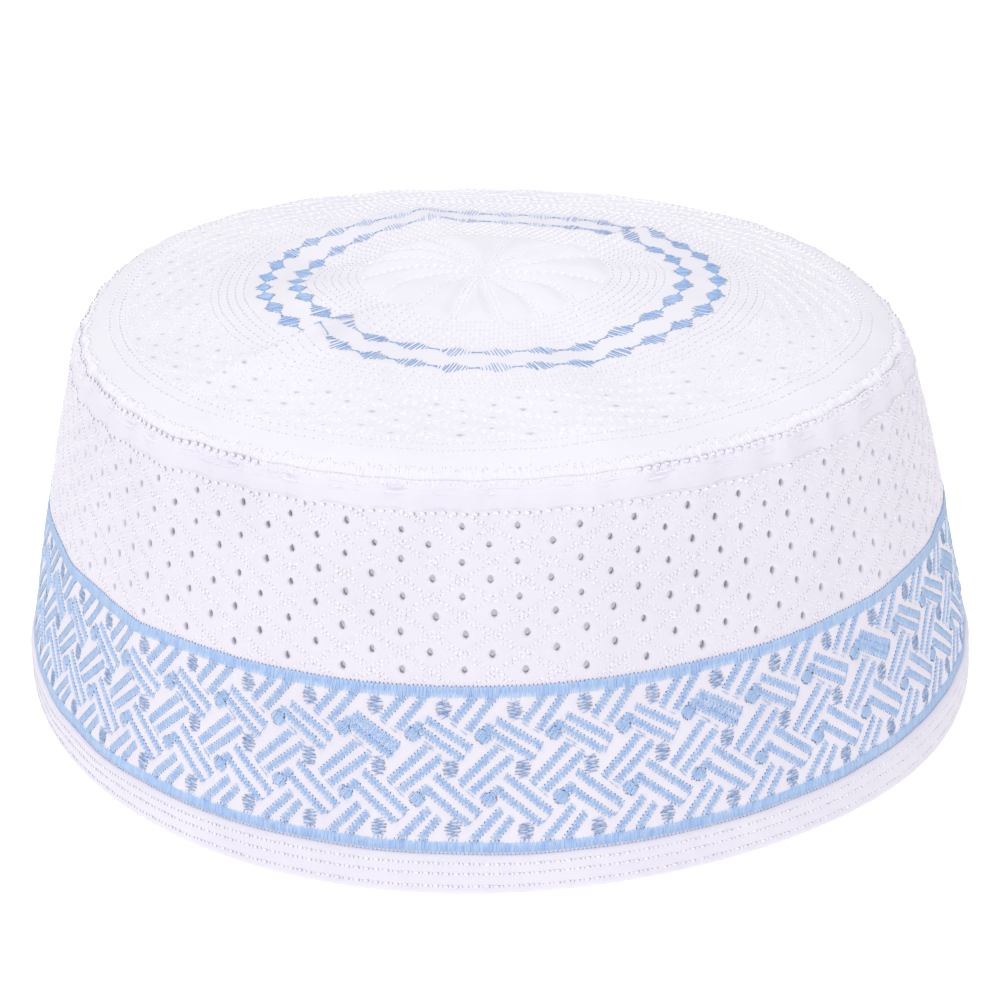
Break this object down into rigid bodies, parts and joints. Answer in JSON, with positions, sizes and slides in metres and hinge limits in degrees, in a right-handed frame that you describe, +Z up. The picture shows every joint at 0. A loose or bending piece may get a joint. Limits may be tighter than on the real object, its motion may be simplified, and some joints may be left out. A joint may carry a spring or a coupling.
{
  "type": "prayer cap",
  "caption": "Round flat-topped cotton prayer cap: creased stitched crown, taped shoulder seam, sloping quilted side with eyelets, folded hem.",
  "frame": {"origin": "on the surface that the cap rests on, under the middle of the hem", "axes": "+Z up through the crown, -Y towards the front of the cap"},
  "size_m": [0.183, 0.1816, 0.0754],
  "materials": {
    "hem_cotton": "bleached cotton, folded and stitched in rows",
    "quilted_cotton": "bleached cotton, quilted in diamonds",
    "tape_cotton": "bleached cotton tape, plain weave",
    "crown_cotton": "bleached cotton, stitched in rings and arcs",
    "white_thread": "white embroidery thread, soft sheen",
    "blue_thread": "light blue embroidery thread, satin sheen"
  },
  "bodies": {
    "root": {"hem_band": "hem_cotton", "side_band": "quilted_cotton", "shoulder_tape": "tape_cotton", "crown_panel": "crown_cotton"}
  },
  "joints": []
}
